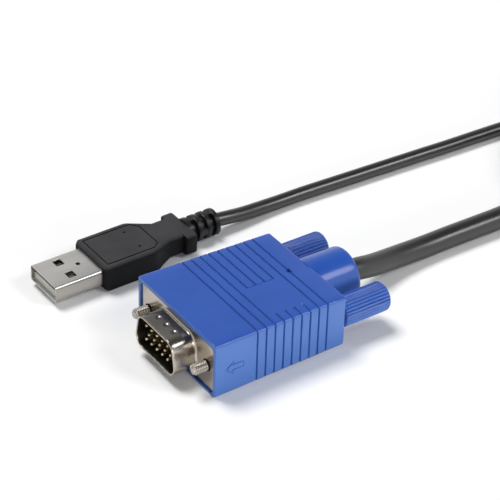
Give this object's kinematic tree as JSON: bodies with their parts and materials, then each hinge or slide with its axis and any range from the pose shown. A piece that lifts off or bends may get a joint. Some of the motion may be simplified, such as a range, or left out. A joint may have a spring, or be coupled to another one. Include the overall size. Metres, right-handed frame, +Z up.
{
  "type": "crash cart adapter",
  "caption": "Adapter with a thumbscrewed blue video plug and a black USB plug on round cords, leading to a flat electronics case with one small USB socket.",
  "frame": {"origin": "middle of the video plug hood's flat underside, where it rests on the floor", "axes": "+X from the plugs towards the cords and the case (both plugs mate towards -X), +Z up, +Y from the video plug towards the USB plug"},
  "size_m": [0.3406, 0.0805, 0.022],
  "materials": {
    "hood_pvc": "moulded blue PVC, fine satin grain",
    "shell_nickel": "nickel-plated drawn steel",
    "insulator_black": "black glass-filled nylon",
    "gold_contact": "gold-flashed contacts",
    "wire_pvc": "wire insulation",
    "inner_pe": "natural polyethylene",
    "crimp_brass": "plain brass",
    "screw_nickel": "nickel-plated steel",
    "spring_steel": "phosphated spring steel",
    "usb_steel": "nickel-plated sheet steel",
    "tongue_white": "white PBT",
    "grip_black": "black PVC with a fine spark grain",
    "relief_black": "black flexible PVC",
    "cord_black": "black satin PVC jacket",
    "case_black": "textured black ABS",
    "foot_rubber": "dull rubber",
    "board_green": "green solder mask",
    "chip_black": "moulded epoxy",
    "can_metal": "plain metal cans",
    "ferrite": "grey ferrite",
    "led_lens": "diffused green lens",
    "pipe_clear": "clear polycarbonate"
  },
  "bodies": {
    "adapter": {"vga_hood": "hood_pvc", "vga_front_shell": "shell_nickel", "vga_rear_shell": "shell_nickel", "vga_front_insulator": "insulator_black", "vga_rear_insulator": "insulator_black", "vga_pins": "gold_contact", "vga_wires": "wire_pvc", "vga_inner_mould": "inner_pe", "vga_cord_ferrule": "crimp_brass", "usb_shell": "usb_steel", "usb_tongue": "tongue_white", "usb_contacts": "gold_contact", "usb_wires": "wire_pvc", "usb_inner_mould": "inner_pe", "usb_cord_ferrule": "crimp_brass", "usb_grip": "grip_black", "usb_strain_relief": "relief_black", "vga_cord_lead": "cord_black", "vga_cord_coil": "cord_black", "vga_cord_tail": "cord_black", "usb_cord_lead": "cord_black", "usb_cord_coil": "cord_black", "usb_cord_tail": "cord_black", "case_base": "case_black", "case_cover": "case_black", "case_screws": "spring_steel", "case_feet": "foot_rubber", "vga_cord_boot": "relief_black", "usb_cord_boot": "relief_black", "main_board": "board_green", "video_chip": "chip_black", "usb_chip": "chip_black", "clock_crystal": "can_metal", "board_coils": "ferrite", "board_capacitors": "can_metal", "host_socket_shell": "shell_nickel", "host_socket_tongue": "insulator_black", "status_led": "led_lens", "light_pipe": "pipe_clear", "vga_header": "tongue_white", "usb_header": "tongue_white", "header_wires": "wire_pvc"},
    "near_screw_clip": {"near_clip": "spring_steel"},
    "far_screw_clip": {"far_clip": "spring_steel"},
    "near_thumbscrew": {"near_knob": "hood_pvc", "near_jackscrew": "screw_nickel"},
    "far_thumbscrew": {"far_knob": "hood_pvc", "far_jackscrew": "screw_nickel"}
  },
  "joints": [
    {"name": "near_thumbscrew_slide", "type": "slide", "parent": "adapter", "child": "near_screw_clip", "axis": [1, 0, 0], "range_m": [-0.0005, 0.0035]},
    {"name": "near_thumbscrew_turn", "type": "hinge", "parent": "near_screw_clip", "child": "near_thumbscrew", "pos_m": [0, -0.01249, 0.0071], "axis": [1, 0, 0], "continuous": true},
    {"name": "far_thumbscrew_slide", "type": "slide", "parent": "adapter", "child": "far_screw_clip", "axis": [1, 0, 0], "range_m": [-0.0005, 0.0035]},
    {"name": "far_thumbscrew_turn", "type": "hinge", "parent": "far_screw_clip", "child": "far_thumbscrew", "pos_m": [0, 0.01249, 0.0071], "axis": [1, 0, 0], "continuous": true}
  ]
}
